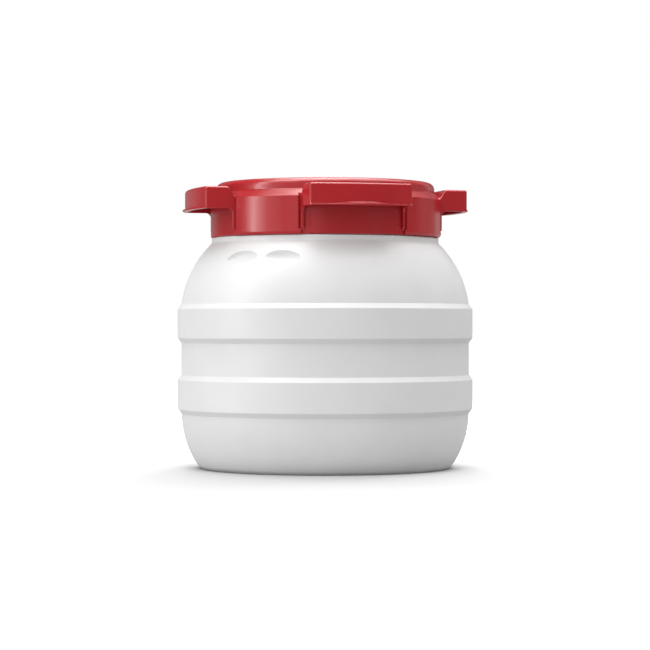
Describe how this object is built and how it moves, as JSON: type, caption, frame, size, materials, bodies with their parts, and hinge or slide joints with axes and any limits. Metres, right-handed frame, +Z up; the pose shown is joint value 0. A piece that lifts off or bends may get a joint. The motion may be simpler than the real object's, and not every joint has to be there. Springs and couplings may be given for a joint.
{
  "type": "plastic fermenting bucket",
  "caption": "Wide-neck plastic fermenting drum with a winged screw lid, a sealing gasket and a grommet for an airlock.",
  "frame": {"origin": "on the drum's axis at the level of its foot", "axes": "+Z up the axis towards the lid, -Y the front, +X to the right of someone who looks at the front"},
  "size_m": [0.262, 0.262, 0.2525],
  "materials": {
    "drum_plastic": "white, satin, blow-moulded polyethylene",
    "lid_plastic": "red, satin to gloss, injection-moulded",
    "gasket_rubber": "pale grey food-grade rubber",
    "grommet_rubber": "black, matt"
  },
  "bodies": {
    "drum": {"drum_body": "drum_plastic"},
    "gasket": {"lid_gasket": "gasket_rubber"},
    "lid": {"screw_lid": "lid_plastic", "airlock_grommet": "grommet_rubber"}
  },
  "joints": [
    {"name": "lid_rise", "type": "slide", "parent": "drum", "child": "gasket", "axis": [0, 0, 1], "range_m": [0, 0.0391]},
    {"name": "lid_turn", "type": "hinge", "parent": "gasket", "child": "lid", "pos_m": [0, 0, 0.2], "axis": [0, 0, 1], "range_deg": [0, 1170]}
  ],
  "couplings": [
    {"joint": "lid_rise", "follows": "lid_turn", "m_per_rad": 0.0019099}
  ]
}
